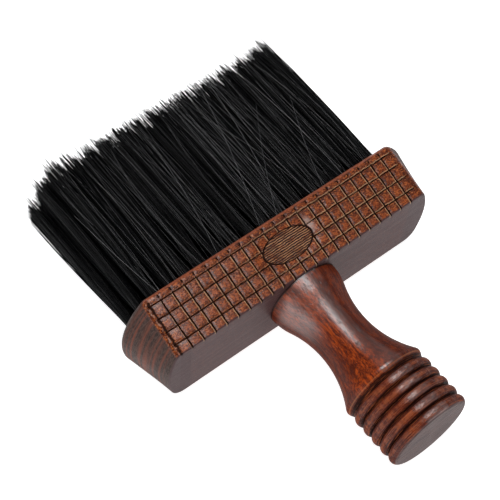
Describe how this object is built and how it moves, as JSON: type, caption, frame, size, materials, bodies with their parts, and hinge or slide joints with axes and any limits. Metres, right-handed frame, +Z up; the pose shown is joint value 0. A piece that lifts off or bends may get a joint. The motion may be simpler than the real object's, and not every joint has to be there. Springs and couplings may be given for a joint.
{
  "type": "neck duster brush",
  "caption": "Barber's neck duster: wide carved wooden head with rows of long soft black bristle tufts and a turned, beaded wooden handle.",
  "frame": {"origin": "centre of the bounding box's base: the brush lies on its back on a level floor at Z = 0", "axes": "+Y from the handle's knob towards the bristle tips, +Z up out of the carved front face, +X along the head to the right as seen from the front; the handle's axis rises 3.12 degrees towards +Y"},
  "size_m": [0.1638, 0.1996, 0.0605],
  "materials": {
    "head_wood": "gloss",
    "handle_wood": "gloss",
    "steel": "satin",
    "bristle": "satin",
    "wire": "satin"
  },
  "bodies": {
    "root": {"head_block": "head_wood", "handle": "handle_wood", "dowel_screw": "steel", "tufts_front": "bristle", "tufts_front_middle": "bristle", "tufts_middle": "bristle", "tufts_back_middle": "bristle", "tufts_back": "bristle", "anchors_front": "wire", "anchors_front_middle": "wire", "anchors_middle": "wire", "anchors_back_middle": "wire", "anchors_back": "wire"}
  },
  "joints": []
}
